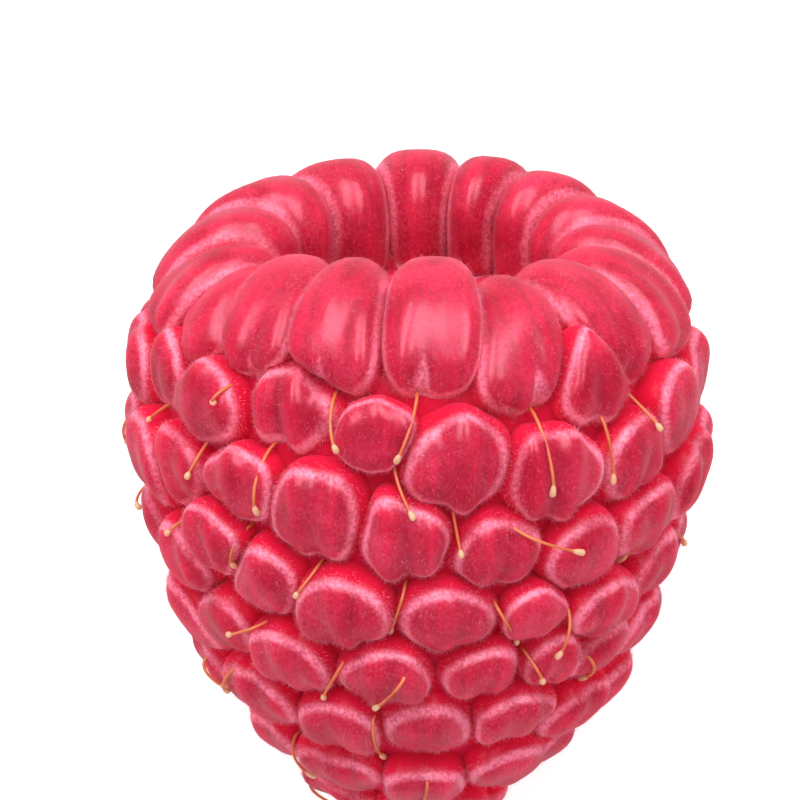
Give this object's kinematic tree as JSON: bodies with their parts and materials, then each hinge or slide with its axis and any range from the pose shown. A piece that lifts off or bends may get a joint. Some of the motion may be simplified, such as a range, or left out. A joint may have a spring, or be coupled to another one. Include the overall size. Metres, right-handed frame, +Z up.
{
  "type": "raspberry",
  "caption": "Ripe picked raspberry lying on its side: plump red drupelets grown together round an open conical hollow.",
  "frame": {"origin": "on the surface that the fruit rests on, under the middle of its box", "axes": "+Z up; +Y towards the open end, which points a little up (the axis of the fruit rises 20 degrees towards it); -Y towards the tip; +X across"},
  "size_m": [0.0242, 0.029, 0.0243],
  "materials": {
    "skin": "thin, soft, juicy red skin with a fine pale velvety bloom",
    "style": "dry orange-brown threads with pale knobs"
  },
  "bodies": {
    "root": {"berry": "skin"}
  },
  "joints": []
}
